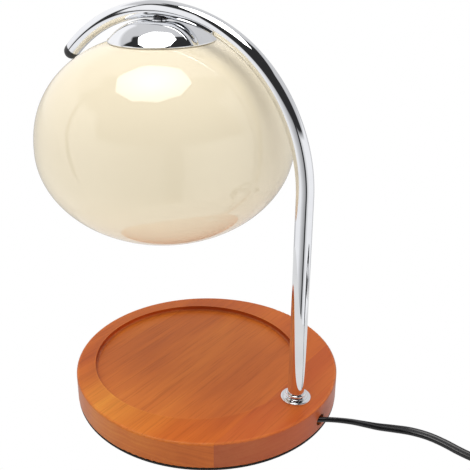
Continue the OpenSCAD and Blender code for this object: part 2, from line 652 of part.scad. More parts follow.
module dimmer_screws() color("#b9bdc2") at_dimmer(dimmer_wall) for (s = [-1, 1])
    translate([s * dimmer_screw_x, 0, 0]) cylinder(d = small_screw_d, h = dimmer_half + 3);
module dimmer_wheel() color("#2a2a2b") at_dimmer(wheel_z) difference() {
    cylinder(d = wheel_d, h = wheel_h);
    translate([0, 0, -cut]) cylinder(d = pot_shaft_d + 2 * fit, h = wheel_h + 2 * cut);
    for (k = [0 : wheel_notches - 1]) rotate([0, 0, 360 * k / wheel_notches])
        translate([wheel_d / 2 + 0.2, 0, -cut]) cylinder(r = 0.8, h = wheel_h + 2 * cut);
}
module dimmer_pot() color("#3c5a86") at_dimmer(board_z + board_h) union() {
    translate([-pot_w / 2, -pot_w / 2, 0]) cube([pot_w, pot_w, wheel_z - run - board_z - board_h]);
    cylinder(d = pot_shaft_d, h = wheel_z + wheel_h + 1 - board_z - board_h);
}
module dimmer_board() color("#3d6b45") at_dimmer(board_z)
    translate([-board_l / 2, -board_w / 2, 0]) cube([board_l, board_w, board_h]);

module cord_link() flat_cord(link_route, link_rolls, 2);
module cord_coil() color("#1b1b1c")
    sweep(coil_points, twin_section(cord_w, cord_t), [for (q = coil_points) 90]);
module coil_tie() color("#202020")
    translate([coil_at[0], coil_at[1], 0]) rotate([0, 0, tie_turn]) {
        from = coil_r - coil_step * coil_turns - cord_t / 2 - 1;
        to = coil_r + cord_t / 2 + run;
        height = coil_top_z + cord_w / 2 + run;
        translate([(from + to) / 2, 0, (height + tie_wall) / 2]) rotate([90, 0, 0])
            linear_extrude(tie_w, center = true) difference() {
                rounded_rect(to - from + 2 * tie_wall, height + tie_wall, cord_t / 2 + tie_wall);
                rounded_rect(to - from, height - tie_wall, cord_t / 2);
            }
    }
module cord_tail() flat_cord(tail_route, tail_rolls, 2);
// Moulded plug: a lip at the face, a body that draws in like a bell, and a slotted neck on the cord
module plug_body() color("#1b1b1c") translate([plug_at[0], plug_at[1], plug_h / 2]) difference() {
    intersection() {
        linear_extrude(plug_h, center = true) polygon(plug_outline(plug_w, plug_neck_w));
        rotate([90, 0, 0]) linear_extrude(plug_w, center = true) polygon(plug_outline(plug_h, plug_neck_h));
    }
    for (k = [0 : plug_slots - 1]) translate([plug_l / 2 + (k + 1) * plug_slot_step, 0, 0])
        rotate([k % 2 * 90, 0, 0])
            for (s = [-1, 1]) translate([0, s * (k % 2 == 0 ? plug_neck_w : plug_neck_h) / 2, 0])
                cube([plug_slot_w, 2 * plug_slot_depth, plug_w], center = true);
}
function plug_outline(wide, neck) = let (half = plug_half_outline(wide / 2, neck / 2))
    concat(half, [for (k = [len(half) - 1 : -1 : 0]) [half[k][0], -half[k][1]]]);
function plug_half_outline(w, n) =
    let (x = plug_l / 2, r = plug_corner_r, root = n + plug_neck_taper, steps = 12) concat(
        [for (t = [180 : -15 : 90]) [-x + r, w - r] + r * [cos(t), sin(t)]],
        [[-x + plug_lip_l, w]],
        [for (k = [0 : steps]) let (u = k / steps)
            [-x + plug_lip_l + (plug_l - plug_lip_l) * u,
             root + (w - plug_lip_step - root) * (1 + cos(180 * u)) / 2]],
        [[x + plug_neck_l, n]]);
module plug_blades() color("#c9a24a") translate([plug_at[0] - plug_l / 2 - blade_l, plug_at[1], plug_h / 2])
    for (s = [-1, 1]) translate([0, s * blade_pitch / 2 - blade_t / 2, -blade_w / 2])
        cube([blade_l, blade_t, blade_w]);

base_disc();
base_pad();
cord_stub();
cord_stop();
core_wires();
wire_splices();
stem_tube();
arch_tube();
stem_flange();
stem_washer();
stem_nut();
tube_end_cap();
lead_wires();
hanger_nipple();
hanger_collar();
shade_cap();
cap_gasket();
glass_shade();
glass_gasket();
retaining_washer();
shade_nut();
holder_bracket();
bracket_nut();
holder_screws();
lampholder();
holder_contacts();
bulb_base();
bulb_pins();
bulb_reflector();
bulb_lens();
bulb_capsule();
cord_lead();
dimmer_lower_shell();
dimmer_upper_shell();
dimmer_wheel();
dimmer_pot();
dimmer_board();
dimmer_screws();
cord_link();
cord_coil();
coil_tie();
cord_tail();
plug_body();
plug_blades();
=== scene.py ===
"""Candle warmer lamp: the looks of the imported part, in metres and in the part's own frame."""

import math

import bmesh
import bpy
from mathutils import Matrix, Vector


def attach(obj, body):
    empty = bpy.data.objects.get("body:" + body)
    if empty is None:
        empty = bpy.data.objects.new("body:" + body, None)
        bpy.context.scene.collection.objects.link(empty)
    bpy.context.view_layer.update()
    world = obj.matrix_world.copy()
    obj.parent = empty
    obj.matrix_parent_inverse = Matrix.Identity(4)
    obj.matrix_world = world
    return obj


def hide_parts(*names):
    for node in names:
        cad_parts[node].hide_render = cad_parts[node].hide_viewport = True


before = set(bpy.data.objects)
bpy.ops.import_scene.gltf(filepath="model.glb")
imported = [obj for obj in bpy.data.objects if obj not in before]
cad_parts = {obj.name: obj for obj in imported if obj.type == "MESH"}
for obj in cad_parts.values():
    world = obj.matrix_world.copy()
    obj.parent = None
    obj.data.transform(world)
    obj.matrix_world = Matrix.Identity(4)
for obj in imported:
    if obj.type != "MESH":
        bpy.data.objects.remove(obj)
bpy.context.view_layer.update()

MM = 0.001
UP = Vector((0, 0, 1))

# Camera: where the photograph was taken from, its lens and the off-centre crop
CAMERA_AT = (0.2571, -0.3331, 0.2945)
CAMERA_TURN, CAMERA_PITCH, CAMERA_ROLL = 38.882, 67.189, -1.037
CAMERA_LENS, CAMERA_SENSOR, CAMERA_NEAR = 56.50, 36.0, 0.01
CAMERA_SHIFT = (0.0952, -0.0233)

# Degrees from which an edge is shaded hard, and from which it counts as a corner to be eased
SHARP_FROM, CORNER_FROM = 35.0, 60.0

# Base and stem, in millimetres as in the part's source
BASE_R, BASE_TOP, RECESS_R, RECESS_X = 86.0, 19.0, 68.0, -8.0
FOOT_R, FOOT_H, FOOT_ROUND, FOOT_SEGMENTS = 85.8, 1.5, 0.6, 160
STEM_X, TUBE_R, TUBE_WALL, TUBE_FOOT = 69.4, 5.0, 1.0, 6.9
BEND_Z, SHOULDER_R, SHOULDER_TURN = 150.0, 93.0, 70.0
ARCH_R, ARCH_TURN = 113.0, 132.0
SHOULDER_X = STEM_X - SHOULDER_R
ARCH_X = SHOULDER_X - (ARCH_R - SHOULDER_R) * math.cos(math.radians(SHOULDER_TURN))
ARCH_Z = BEND_Z - (ARCH_R - SHOULDER_R) * math.sin(math.radians(SHOULDER_TURN))
TUBE_SEGMENTS, BEND_STEPS = 64, 70

# Flange at the foot of the stem: a plate, a step and a hub with rounded edges, and a groove between them
FLANGE_R, FLANGE_H, FLANGE_GAP, PLATE_ROUND = 9.2, 4.4, 0.05, 0.7
STEP_R, STEP_TOP, STEP_ROUND = 7.0, 2.4, 0.4
HUB_R, HUB_ROUND = 6.2, 0.8
GROOVE_AT, GROOVE_DEPTH = 0.2, 0.15
FLANGE_STEPS = 96

# Chrome cap under the arch, and the shade that its bead rests on
COLLAR_GAP, CAP_R, CAP_RISE, CAP_WALL, CAP_BEAD, CAP_HOLE = 0.5, 31.7, 11.5, 0.9, 0.7, 3.55
CAP_RIM = ARCH_Z + ARCH_R - TUBE_R - COLLAR_GAP - CAP_RISE
CROWN_R, CAP_CURVE, CAP_SINK, CAP_FOOT, BOSS_R = 8.85, 29.0, -17.85, 38.8, 5.4
BEAD_AT, BEAD_FROM, BEAD_TO = CAP_R - CAP_WALL / 2, 40, -220
SHADE_R, SHADE_UP, SHADE_DOWN, GLASS_WALL = 79.6, 65.8, 60.0, 3.0
SHADE_MOUTH, SHADE_HOLE, FULLNESS, BEAD_GAP = 34.0, 6.0, 2.2, 0.1
SHADE_Z = CAP_RIM - CAP_BEAD - BEAD_GAP - SHADE_UP * (
    1 - (BEAD_AT / SHADE_R) ** FULLNESS) ** (1 / FULLNESS)
ROUND_STEPS, UPPER_STEPS, LOWER_STEPS = 192, 60, 40

# Flat cord: its section, where it leaves the base, and the places it passes with its roll at each
CORD_W, CORD_T = 6.2, 3.1
CORD_Z = CORD_T / 2
LOBE_TURN, LOBE_STEPS, CURVE_PARTS = 140, 11, 6
EXIT_TURN, EXIT_ROLL, EXIT_Z, EXIT_RUN, STUB_L = 38.0, 38.0, 8.4, 4.0, 7.6
EXIT = Vector((85.9705, 2.2512, EXIT_Z))
EXIT_WAY = Vector((math.cos(math.radians(EXIT_TURN)), math.sin(math.radians(EXIT_TURN)), 0))
DIMMER_IN, DIMMER_OUT = Vector((194.0, 31.0, 5.6)), Vector((254.0, 31.0, 5.6))
LEAD_PLACES = [
    (95, 9, 8), (101, 14, 6.6), (107, 19, 4.6), (114, 24, 2.8), (122, 29, 2), (131, 33.5, CORD_Z),
    (141, 35.5, CORD_Z), (151, 35.2, CORD_Z), (161, 33.6, CORD_Z), (170, 32.2, 2.2), (178, 31.4, 3.6),
    (186, 31, 5.2)]
LEAD_ROLLS = [EXIT_ROLL, EXIT_ROLL, 34, 28, 20, 12, 6, 0, 0, 0, 0, 0, 0, 0, 0]
LINK_PLACES = [
    (263, 31, 5.6), (270, 31.8, 5.4), (276, 33.5, 5.2), (282, 36.3, 5), (287.5, 40, 4.7),
    (292.3, 44.6, 4.4), (296, 50, 4.3), (298.8, 56, 4.2), (300.5, 62.5, 4.2), (301, 70, 4.2),
    (301, 78, 4.2), (301, 86, 4.2)]
LINK_ROLLS = [0, 0, 8, 18, 30, 44, 58, 70, 80, 87, 90, 90, 90, 90]
COIL_AT, COIL_R, COIL_STEP, COIL_TURNS, CLIMB_TURNS = (258.0, 94.0), 43.0, 7.0, 2.375, 0.5
COIL_Z, COIL_LAYER, COIL_ROLL = 4.2, 6.9, 90.0
COIL_ENDS = 2 * COIL_TURNS + CLIMB_TURNS
COIL_STEPS = 36
TAIL_PLACES = [
    (251, 137, COIL_Z + COIL_LAYER), (244, 137, 10.8), (237, 137, 10.2), (230, 137, 9.2), (224, 137, 8.3)]
TAIL_ROLLS = [90, 90, 74, 48, 22, 6, 0]

# Plug: lengths of neck, body and lip, then half widths and half heights from the cord to the face
PLUG_NECK_END = Vector((217.0, 137.0, 7.5))
NECK_L, PLUG_L, LIP_L, LIP_ROUND = 20.0, 26.0, 4.0, 2.0
NECK_TIP, NECK_ROOT = Vector((4.3, 2.8)), Vector((5.0, 3.5))
PLUG_BELL, PLUG_LIP = Vector((11.2, 6.7)), Vector((12.0, 7.5))
LIP_GROOVE, LIP_EASE, LIP_PLACES = Vector((0.4, 0.4)), Vector((0.3, 0.3)), (0.2, 0.6, 0.8, 1.1)
PLUG_SQUARENESS, BELL_STEPS = 4.2, 16
BLADE_L, BLADE_W, BLADE_T, BLADE_PITCH = 17.0, 6.35, 1.5, 12.7
BLADE_HOLE, BLADE_HOLE_AT, BLADE_TIP, BLADE_ROOT, BLADE_EASE = 1.6, 4.6, 1.9, 0.4, 0.22

# Sleeves where the cord enters the dimmer
SLEEVE_L, WALL_T, SLEEVE_SQUARENESS, SLEEVE_ROLL = 23.0, 1.8, 2.6, 16
SLEEVE_ROOT, SLEEVE_TIP = Vector((5.4, 4.2)), Vector((3.75, 2.1))
RIB_PITCH, RIB_GROOVE, RIB_DEPTH, RIB_SLOPE = 2.9, 1.0, 0.5, 0.25

# Strap round the coil; its lapped end passes places given along the top and above where it lies on itself
STRAP_TURN, STRAP_W, STRAP_T, STRAP_BEND = 215.0, 8.0, 0.8, 2.4
STRAP_IN, STRAP_OUT, STRAP_LOW, STRAP_HIGH = 24.3, 41.2, 0.45, 14.8
STRAP_START, LAP_GAP = 3.0, 0.05
LAP_PLACES = [(1.6, -0.6), (3.2, 0.0), (6.0, 0.0), (9.0, 0.0), (11.2, 0.15), (12.4, 0.35)]
STRAP_SQUARENESS, STRAP_STEPS = 6.0, 28

# Wood of the base, in metres: one joint of its staves, their width and how far the grain is shifted from
# one to the next, the distance and wander of the rings, the depth of the heart below the table, and the
# paler sapwood at the front
STAVE_JOINT, STAVE_W, STAVE_SHIFT, RED_STAVE = 0.0555, 0.115, (0.371, 0.713), 0.0
RING_STEP, RING_NOISE, RING_WANDER, HEART_DEPTH = 0.0027, 1.6, 0.012, 0.16
SAPWOOD_AT, SAPWOOD_R = (-0.018, -0.075), 0.05
WOOD_GLOSS, WOOD_SHEEN, PORE_DEPTH = (0.30, 0.42), 0.26, 0.00001

# How far in from the base's edge its painted highlight and wear begin, and where they are full, in
# millimetres
WORN_LIT_FROM, WORN_LIT_TO = 2.0, 0.8

# Bulb's front glass: facets per metre and their depth in metres
LENS_FACETS, FACET_DEPTH, LENS_GLOSS = 320.0, 0.0004, (0.04, 0.10)


# Shaping

def finished(bm, name, material, body, nodes=()):
    """Turns a bmesh into a piece that rides on a body and stands for its CAD nodes."""
    mesh = bpy.data.meshes.new(name)
    bm.to_mesh(mesh)
    bm.free()
    mesh.materials.append(material)
    mesh.shade_smooth()
    mesh.set_sharp_from_angle(angle=math.radians(SHARP_FROM))
    piece = bpy.data.objects.new(name, mesh)
    bpy.context.scene.collection.objects.link(piece)
    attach(piece, body)
    if nodes:
        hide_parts(*nodes)
    return piece


def only(geom, kind):
    return [g for g in geom if isinstance(g, kind)]


def closed_loop(bm, verts):
    return [bm.edges.new(pair) for pair in zip(verts, verts[1:] + verts[:1])]


def close_up(bm):
    bmesh.ops.remove_doubles(bm, verts=bm.verts, dist=1e-6)
    bmesh.ops.recalc_face_normals(bm, faces=bm.faces)


def turned(profile, at, steps):
    """A closed profile of (radius, height) in mm, turned about the upright line through at."""
    bm = bmesh.new()
    verts = [bm.verts.new(((at[0] + r) * MM, at[1] * MM, (at[2] + z) * MM)) for r, z in profile]
    bmesh.ops.spin(
        bm, geom=verts + closed_loop(bm, verts), cent=Vector(at) * MM, axis=(0, 0, 1), angle=2 * math.pi,
        steps=steps, use_merge=True)
    close_up(bm)
    return bm


def arc(cx, cz, radius, start, end, steps):
    return [
        (cx + radius * math.cos(math.radians(start + (end - start) * k / steps)),
         cz + radius * math.sin(math.radians(start + (end - start) * k / steps)))
        for k in range(steps + 1)]


def grow_ring(bm, edges):
    """Extrudes a ring of edges in place and returns the new verts and the new ring."""
    geom = bmesh.ops.extrude_edge_only(bm, edges=edges)["geom"]
    verts = only(geom, bmesh.types.BMVert)
    new = set(verts)
    return verts, [e for e in only(geom, bmesh.types.BMEdge) if new.issuperset(e.verts)]


def thicken(bm, faces, by):
    """Extrudes flat faces into a slab; by is its thickness in mm along each axis."""
    grown = bmesh.ops.extrude_face_region(bm, geom=faces, use_keep_orig=True)["geom"]
    bmesh.ops.translate(bm, vec=Vector(by) * MM, verts=only(grown, bmesh.types.BMVert))


def ease_corners(bm, offset, segments):
    bmesh.ops.recalc_face_normals(bm, faces=bm.faces)
    corners = [e for e in bm.edges if e.calc_face_angle(0) > math.radians(CORNER_FROM)]
    bmesh.ops.bevel(
        bm, geom=corners, offset=offset * MM, offset_type="OFFSET", affect="EDGES", segments=segments,
        profile=0.5, material=-1)


# Cord

def smooth(points):
    """Catmull-Rom curve through places, or through rolls, listed one by one."""
    last = len(points) - 1
    out = []
    for i in range(last):
        a, b = points[max(0, i - 1)], points[i]
        c, d = points[i + 1], points[min(last, i + 2)]
        for k in range(CURVE_PARTS):
            t = k / CURVE_PARTS
            out.append(0.5 * (2 * b + (c - a) * t + (2 * a - 5 * b + 4 * c - d) * t * t
                              + (3 * b - a - 3 * c + d) * t * t * t))
    return out + [points[last]]


def coil_place(turn):
    """Inwards turn by turn, up half a turn to the second layer, and outwards again."""
    radius = COIL_R - COIL_STEP * min(turn, COIL_TURNS, COIL_ENDS - turn)
    climb = max(0.0, min(1.0, (turn - COIL_TURNS) / CLIMB_TURNS))
    angle = 2 * math.pi * turn
    return Vector((COIL_AT[0] + radius * math.cos(angle), COIL_AT[1] + radius * math.sin(angle),
                   COIL_Z + COIL_LAYER * climb))


def twin_core_section():
    """Two round cores side by side with a web between them."""
    points = []
    for side, centre in ((0, CORD_W / 4), (180, -CORD_W / 4)):
        points += arc(centre, 0, CORD_T / 2, side - LOBE_TURN, side + LOBE_TURN, LOBE_STEPS)
    return points


def heading(path, i):
    return (path[min(i + 1, len(path) - 1)] - path[max(i - 1, 0)]).normalized()


def swept(path, sides, section, swell=None):
    """Carries a section in mm along a path. sides is the way its width points at each place, and swell
    its scale there."""
    places = []
    for i, here in enumerate(path):
        way = heading(path, i)
        axes = Matrix((sides[i], sides[i].cross(way), way)).transposed().to_4x4()
        wide, tall = swell[i] if swell else (1.0, 1.0)
        places.append(Matrix.Translation(here * MM) @ axes @ Matrix.Diagonal((wide, tall, 1.0, 1.0)))
    bm = bmesh.new()
    edges = closed_loop(bm, [bm.verts.new((u * MM, v * MM, 0)) for u, v in section])
    bmesh.ops.contextual_create(bm, geom=edges)
    bmesh.ops.transform(bm, matrix=places[0], verts=bm.verts)
    for before, after in zip(places, places[1:]):
        verts, edges = grow_ring(bm, edges)
        bmesh.ops.transform(bm, matrix=after @ before.inverted(), verts=verts)
    bmesh.ops.contextual_create(bm, geom=edges)
    bmesh.ops.recalc_face_normals(bm, faces=bm.faces)
    return bm


def rolled_sides(path, rolls):
    """Level across the path at each place, then rolled about it by so many degrees."""
    sides = []
    for i, roll in enumerate(rolls):
        way = heading(path, i)
        sides.append(Matrix.Rotation(math.radians(-roll), 3, way) @ way.cross(UP).normalized())
    return sides


def laid_cord(path, rolls):
    return swept(path, rolled_sides(path, rolls), twin_core_section())


def place_along(path, distance):
    for a, b in zip(path, path[1:]):
        step = (b - a).length
        if distance <= step:
            return a.lerp(b, distance / step)
        distance -= step
    return path[-1]


def soft_block(squareness, steps=44):
    """A rounded block of half width and half height 1."""
    def eased(x):
        return math.copysign(abs(x) ** (2 / squareness), x)
    angles = [2 * math.pi * k / steps for k in range(steps)]
    return [(eased(math.cos(angle)), eased(math.sin(angle))) for angle in angles]


def ribbed(start, end, length):
    """Places along a tapered neck and its half sizes there, with a groove after each rib."""
    marks = [(0.0, 0.0)]
    for k in range(int(length / RIB_PITCH)):
        ends = (k + 1) * RIB_PITCH
        marks += [(ends - RIB_GROOVE - RIB_SLOPE, 0.0), (ends - RIB_GROOVE, RIB_DEPTH),
                  (ends - RIB_SLOPE, RIB_DEPTH), (ends, 0.0)]
    return [(at, start.lerp(end, at / length) - Vector((depth, depth))) for at, depth in marks]


# Nodes of finishes and lights

def add(tree, kind, inputs=None, **settings):
    node = tree.nodes.new(kind)
    for key, value in settings.items():
        setattr(node, key, value)
    for key, value in (inputs or {}).items():
        if isinstance(value, bpy.types.NodeSocket):
            tree.links.new(value, node.inputs[key])
        else:
            node.inputs[key].default_value = value
    return node


def math_node(tree, operation, *values):
    return add(tree, "ShaderNodeMath", dict(enumerate(values)), operation=operation).outputs[0]


def own_coords(tree):
    return add(tree, "ShaderNodeTexCoord").outputs["Object"]


def axes_of(tree, vector):
    return add(tree, "ShaderNodeSeparateXYZ", {"Vector": vector}).outputs


def vector_of(tree, x, y, z):
    return add(tree, "ShaderNodeCombineXYZ", {"X": x, "Y": y, "Z": z}).outputs[0]


def length_of(tree, vector):
    return add(tree, "ShaderNodeVectorMath", {0: vector}, operation="LENGTH").outputs["Value"]


def flat_distance(tree, axes, centre_x, centre_y=0.0):
    """Level distance from the upright line through a place."""
    return length_of(tree, vector_of(
        tree, math_node(tree, "SUBTRACT", axes["X"], centre_x),
        math_node(tree, "SUBTRACT", axes["Y"], centre_y), 0.0))


def between(tree, value, low, high):
    """0 at low, 1 at high, straight between them."""
    return add(tree, "ShaderNodeMapRange", {
        "Value": value, "From Min": low, "From Max": high}).outputs["Result"]


def spread(tree, factor, low, high):
    """low where the factor is 0, high where it is 1."""
    return add(tree, "ShaderNodeMapRange", {
        "Value": factor, "To Min": low, "To Max": high}).outputs["Result"]


def ramp(tree, factor, stops):
    node = add(tree, "ShaderNodeValToRGB", {"Fac": factor})
    while len(node.color_ramp.elements) < len(stops):
        node.color_ramp.elements.new(1.0)
    for element, (place, colour) in zip(node.color_ramp.elements, stops):
        element.position = place
        element.color = (*colour, 1.0)
    return node.outputs["Color"]


def tinted(tree, colour, factor, tint, mode="MIX"):
    node = add(tree, "ShaderNodeMix", data_type="RGBA", blend_type=mode)
    for key, value in (("Factor", factor), ("A", colour), ("B", tint)):
        socket = next(i for i in node.inputs if i.name == key and i.enabled)
        if isinstance(value, bpy.types.NodeSocket):
            tree.links.new(value, socket)
        else:
            socket.default_value = value
    return next(o for o in node.outputs if o.enabled)


# Finishes

def new_finish(name):
    material = bpy.data.materials.new(name)
    material.use_nodes = True
    return material, material.node_tree, material.node_tree.nodes["Principled BSDF"]


def emboss(tree, shader, height, depth):
    bump = add(tree, "ShaderNodeBump", {"Height": height, "Distance": depth})
    tree.links.new(bump.outputs["Normal"], shader.inputs["Normal"])


def surface(name, tints, spots, gloss, metal=0.0, relief=None, ior=1.5):
    """Finish whose colour, roughness and fine relief vary over the piece. tints are its two colours, and
    spots how many patches it has per metre; gloss is the least and most roughness; relief is (count per
    metre, height in metres)."""
    material, tree, shader = new_finish(name)
    at = own_coords(tree)
    cloud = add(tree, "ShaderNodeTexNoise", {"Vector": at, "Scale": spots, "Detail": 4.0}).outputs["Fac"]
    shade = ramp(tree, cloud, list(zip((0.3, 0.7), tints)))
    tree.links.new(shade, shader.inputs["Base Color"])
    tree.links.new(spread(tree, cloud, *gloss), shader.inputs["Roughness"])
    shader.inputs["Metallic"].default_value = metal
    shader.inputs["IOR"].default_value = ior
    if relief:
        count, height = relief
        pits = add(tree, "ShaderNodeTexNoise", {"Vector": at, "Scale": count, "Detail": 2.0})
        emboss(tree, shader, pits.outputs["Fac"], height)
    return material


def clear_glass():
    """Pressed glass with small facets."""
    material, tree, shader = new_finish("clear_lens_glass")
    facets = add(tree, "ShaderNodeTexVoronoi", {
        "Vector": own_coords(tree), "Scale": LENS_FACETS}).outputs["Distance"]
    emboss(tree, shader, facets, FACET_DEPTH)
    shader.inputs["Base Color"].default_value = (0.90, 0.94, 0.96, 1.0)
    shader.inputs["Transmission Weight"].default_value = 0.9
    tree.links.new(spread(tree, facets, *LENS_GLOSS), shader.inputs["Roughness"])
    return material


def grain(tree, at, across, along, detail, roughness):
    """Noise drawn out along Y: so many per metre across the grain and along it."""
    placed = add(tree, "ShaderNodeMapping", {"Vector": at, "Scale": (across, along, across)})
    return add(tree, "ShaderNodeTexNoise", {
        "Vector": placed.outputs["Vector"], "Scale": 1.0, "Detail": detail,
        "Roughness": roughness}).outputs["Fac"]


def cherry_staves():
    """Satin-lacquered cherry, edge-glued from staves that run along Y, each with its own tint and rings."""
    material, tree, shader = new_finish("cherry_staves")
    coords = own_coords(tree)
    at = axes_of(tree, coords)
    facing = axes_of(tree, add(tree, "ShaderNodeNewGeometry").outputs["Normal"])
    lying = between(tree, math_node(tree, "ABSOLUTE", facing["Z"]), 0.35, 0.75)

    # Every stave is numbered from the joint, and its grain comes from another part of the noise
    stave = math_node(tree, "FLOOR", math_node(
        tree, "DIVIDE", math_node(tree, "SUBTRACT", at["X"], STAVE_JOINT), STAVE_W))
    red = math_node(tree, "COMPARE", stave, RED_STAVE, 0.5)
    shift_x, shift_y = STAVE_SHIFT
    shift = vector_of(
        tree, math_node(tree, "MULTIPLY", stave, shift_x), math_node(tree, "MULTIPLY", stave, shift_y), 0.0)
    grown = add(tree, "ShaderNodeVectorMath", {0: coords, 1: shift}, operation="ADD").outputs[0]
    drift = grain(tree, grown, across=22, along=7, detail=2.0, roughness=0.55)
    streaks = grain(tree, grown, across=190, along=13, detail=3.0, roughness=0.5)
    fibres = grain(tree, grown, across=1000, along=26, detail=2.0, roughness=0.6)

    # Rings of uneven width round a heart that lies deep below the middle of the stave
    middle = math_node(tree, "MULTIPLY_ADD", stave, STAVE_W, STAVE_JOINT + STAVE_W / 2)
    from_heart = length_of(tree, vector_of(
        tree, math_node(tree, "SUBTRACT", at["X"], middle), 0.0,
        math_node(tree, "ADD", at["Z"], HEART_DEPTH)))
    rings = add(tree, "ShaderNodeTexNoise", {
        "W": math_node(tree, "MULTIPLY_ADD", drift, RING_WANDER, from_heart),
        "Scale": RING_NOISE / RING_STEP, "Detail": 2.0}, noise_dimensions="1D").outputs["Fac"]

    # The rings show on the edge of the disc, less so on the redder stave, and the streaks on its top
    ground = math_node(tree, "MULTIPLY_ADD", drift, 0.68, 0.16)
    streak_depth = spread(tree, lying, 0.14, 0.32)
    streaked = math_node(
        tree, "MULTIPLY_ADD", math_node(tree, "SUBTRACT", streaks, 0.5), streak_depth, ground)
    ring_depth = math_node(
        tree, "MULTIPLY", spread(tree, lying, 0.46, 0.09), spread(tree, red, 1.0, 0.45))
    figure = math_node(
        tree, "MULTIPLY_ADD", math_node(tree, "SUBTRACT", rings, 0.5), ring_depth, streaked)
    body = ramp(tree, figure, [
        (0.32, (0.562, 0.127, 0.018)), (0.46, (0.670, 0.168, 0.023)), (0.58, (0.734, 0.203, 0.028)),
        (0.70, (0.800, 0.262, 0.038))])

    # The redder stave beside the joint, more so on its edge
    redder = tinted(tree, (0.63, 0.51, 1.04, 1.0), lying, (0.82, 0.66, 0.86, 1.0))
    body = tinted(tree, body, red, redder, "MULTIPLY")

    # End grain takes the stain darker
    end_grain = math_node(tree, "ABSOLUTE", facing["Y"])
    body = tinted(tree, body, 1.0, ramp(tree, end_grain, [
        (0.2, (1.0, 1.0, 1.0)), (0.9, (0.74, 0.80, 0.92))]), "MULTIPLY")

    # Tints on the lying faces, by the distance from the recess in its diameters: a painted sheen on the
    # floor, painted shade where the floor meets the wall, painted highlight with wear at the edges, warmer
    # and darker on the rim and paler over the sapwood
    from_recess = math_node(
        tree, "DIVIDE", flat_distance(tree, at, RECESS_X * MM), 2 * RECESS_R * MM)
    # Painted sheen: the recess floor is left paler than the rim, which is tinted warmer and darker
    floor, painted_crease_shade = (1.0, 1.0, 1.0), (0.80, 0.66, 0.50)
    rubbed_and_highlit, rim = (1.0, 1.0, 0.95), (0.926, 0.805, 0.664)
    # Painted shade: a dark ring where the floor meets the wall; painted highlight with wear: a pale ring on
    # the recess's edge
    lying_tint = ramp(tree, from_recess, [
        (0.486, floor), (0.490, painted_crease_shade), (0.497, painted_crease_shade), (0.499, rubbed_and_highlit), (0.503, rubbed_and_highlit), (0.506, rim)])
    sapwood = math_node(
        tree, "MULTIPLY", between(tree, from_recess, 0.494, 0.506),
        between(tree, flat_distance(tree, at, *SAPWOOD_AT), SAPWOOD_R, 0.3 * SAPWOOD_R))
    lying_tint = tinted(tree, lying_tint, sapwood, (1.09, 1.42, 1.36, 1.0), "MULTIPLY")
    # Painted highlight with wear: the top turns pale towards the outer edge
    worn_and_highlit = between(
        tree, flat_distance(tree, at, 0.0), (BASE_R - WORN_LIT_FROM) * MM, (BASE_R - WORN_LIT_TO) * MM)
    lying_tint = tinted(tree, lying_tint, worn_and_highlit, (*rubbed_and_highlit, 1.0))

    # Standing faces: much darker and redder on the wall of the recess, a little darker on the side of the
    # disc
    standing_tint = ramp(tree, from_recess, [(0.505, (0.78, 0.42, 0.25)), (0.52, (0.926, 0.847, 0.80))])
    body = tinted(tree, body, 1.0, tinted(tree, standing_tint, lying, lying_tint), "MULTIPLY")

    # Pores, fainter on the standing faces
    pores = ramp(tree, fibres, [(0.34, (0.88, 0.83, 0.79)), (0.46, (1.0, 1.0, 1.0))])
    body = tinted(tree, body, spread(tree, lying, 0.4, 1.0), pores, "MULTIPLY")
    tree.links.new(body, shader.inputs["Base Color"])
    tree.links.new(spread(tree, streaks, *WOOD_GLOSS), shader.inputs["Roughness"])
    emboss(tree, shader, fibres, PORE_DEPTH)
    shader.inputs["Specular IOR Level"].default_value = WOOD_SHEEN
    return material


WOOD = cherry_staves()
CHROME = surface(
    "polished_chrome", [(0.86, 0.87, 0.89), (0.93, 0.94, 0.95)], 60, (0.02, 0.05), metal=1.0)
OPAL = surface(
    "ivory_opal_glass", [(0.825, 0.732, 0.545), (0.845, 0.752, 0.565)], 12, (0.03, 0.06), ior=1.6)
FOAM = surface(
    "black_foam_pad", [(0.008, 0.008, 0.008), (0.02, 0.02, 0.02)], 1500, (0.8, 0.95), relief=(2500, 8e-5))
CORD = surface(
    "black_cord_sleeve", [(0.004, 0.004, 0.005), (0.009, 0.009, 0.010)], 300, (0.22, 0.32),
    relief=(1800, 6e-6))
MOULDED = surface(
    "moulded_black_plastic", [(0.010, 0.010, 0.010), (0.018, 0.018, 0.018)], 500, (0.28, 0.40),
    relief=(2600, 1.2e-5))
STRAP = surface(
    "woven_strap", [(0.010, 0.010, 0.011), (0.030, 0.030, 0.032)], 1900, (0.7, 0.9), relief=(2400, 6e-5))
# Dark steel for the collar, which also paints the shade in the gap between the tube and the cap
DARK_STEEL_AND_SHADE = surface(
    "dark_steel_and_painted_shade", [(0.05, 0.05, 0.055), (0.11, 0.11, 0.115)], 300, (0.16, 0.28), metal=1.0)
GRIP = surface(
    "grip_plastic", [(0.022, 0.022, 0.023), (0.04, 0.04, 0.041)], 500, (0.45, 0.6), relief=(2200, 2e-5))
ZINC = surface(
    "zinc_plated_steel", [(0.50, 0.51, 0.53), (0.64, 0.65, 0.66)], 500, (0.25, 0.42), metal=1.0,
    relief=(1500, 6e-6))
BRASS = surface("plain_brass", [(0.66, 0.45, 0.17), (0.78, 0.57, 0.26)], 400, (0.22, 0.36), metal=1.0)
SILICONE = surface("milky_silicone", [(0.74, 0.71, 0.64), (0.82, 0.79, 0.72)], 200, (0.5, 0.62))
CERAMIC = surface(
    "white_ceramic", [(0.72, 0.69, 0.62), (0.80, 0.77, 0.70)], 350, (0.35, 0.6), relief=(1600, 1.5e-5))
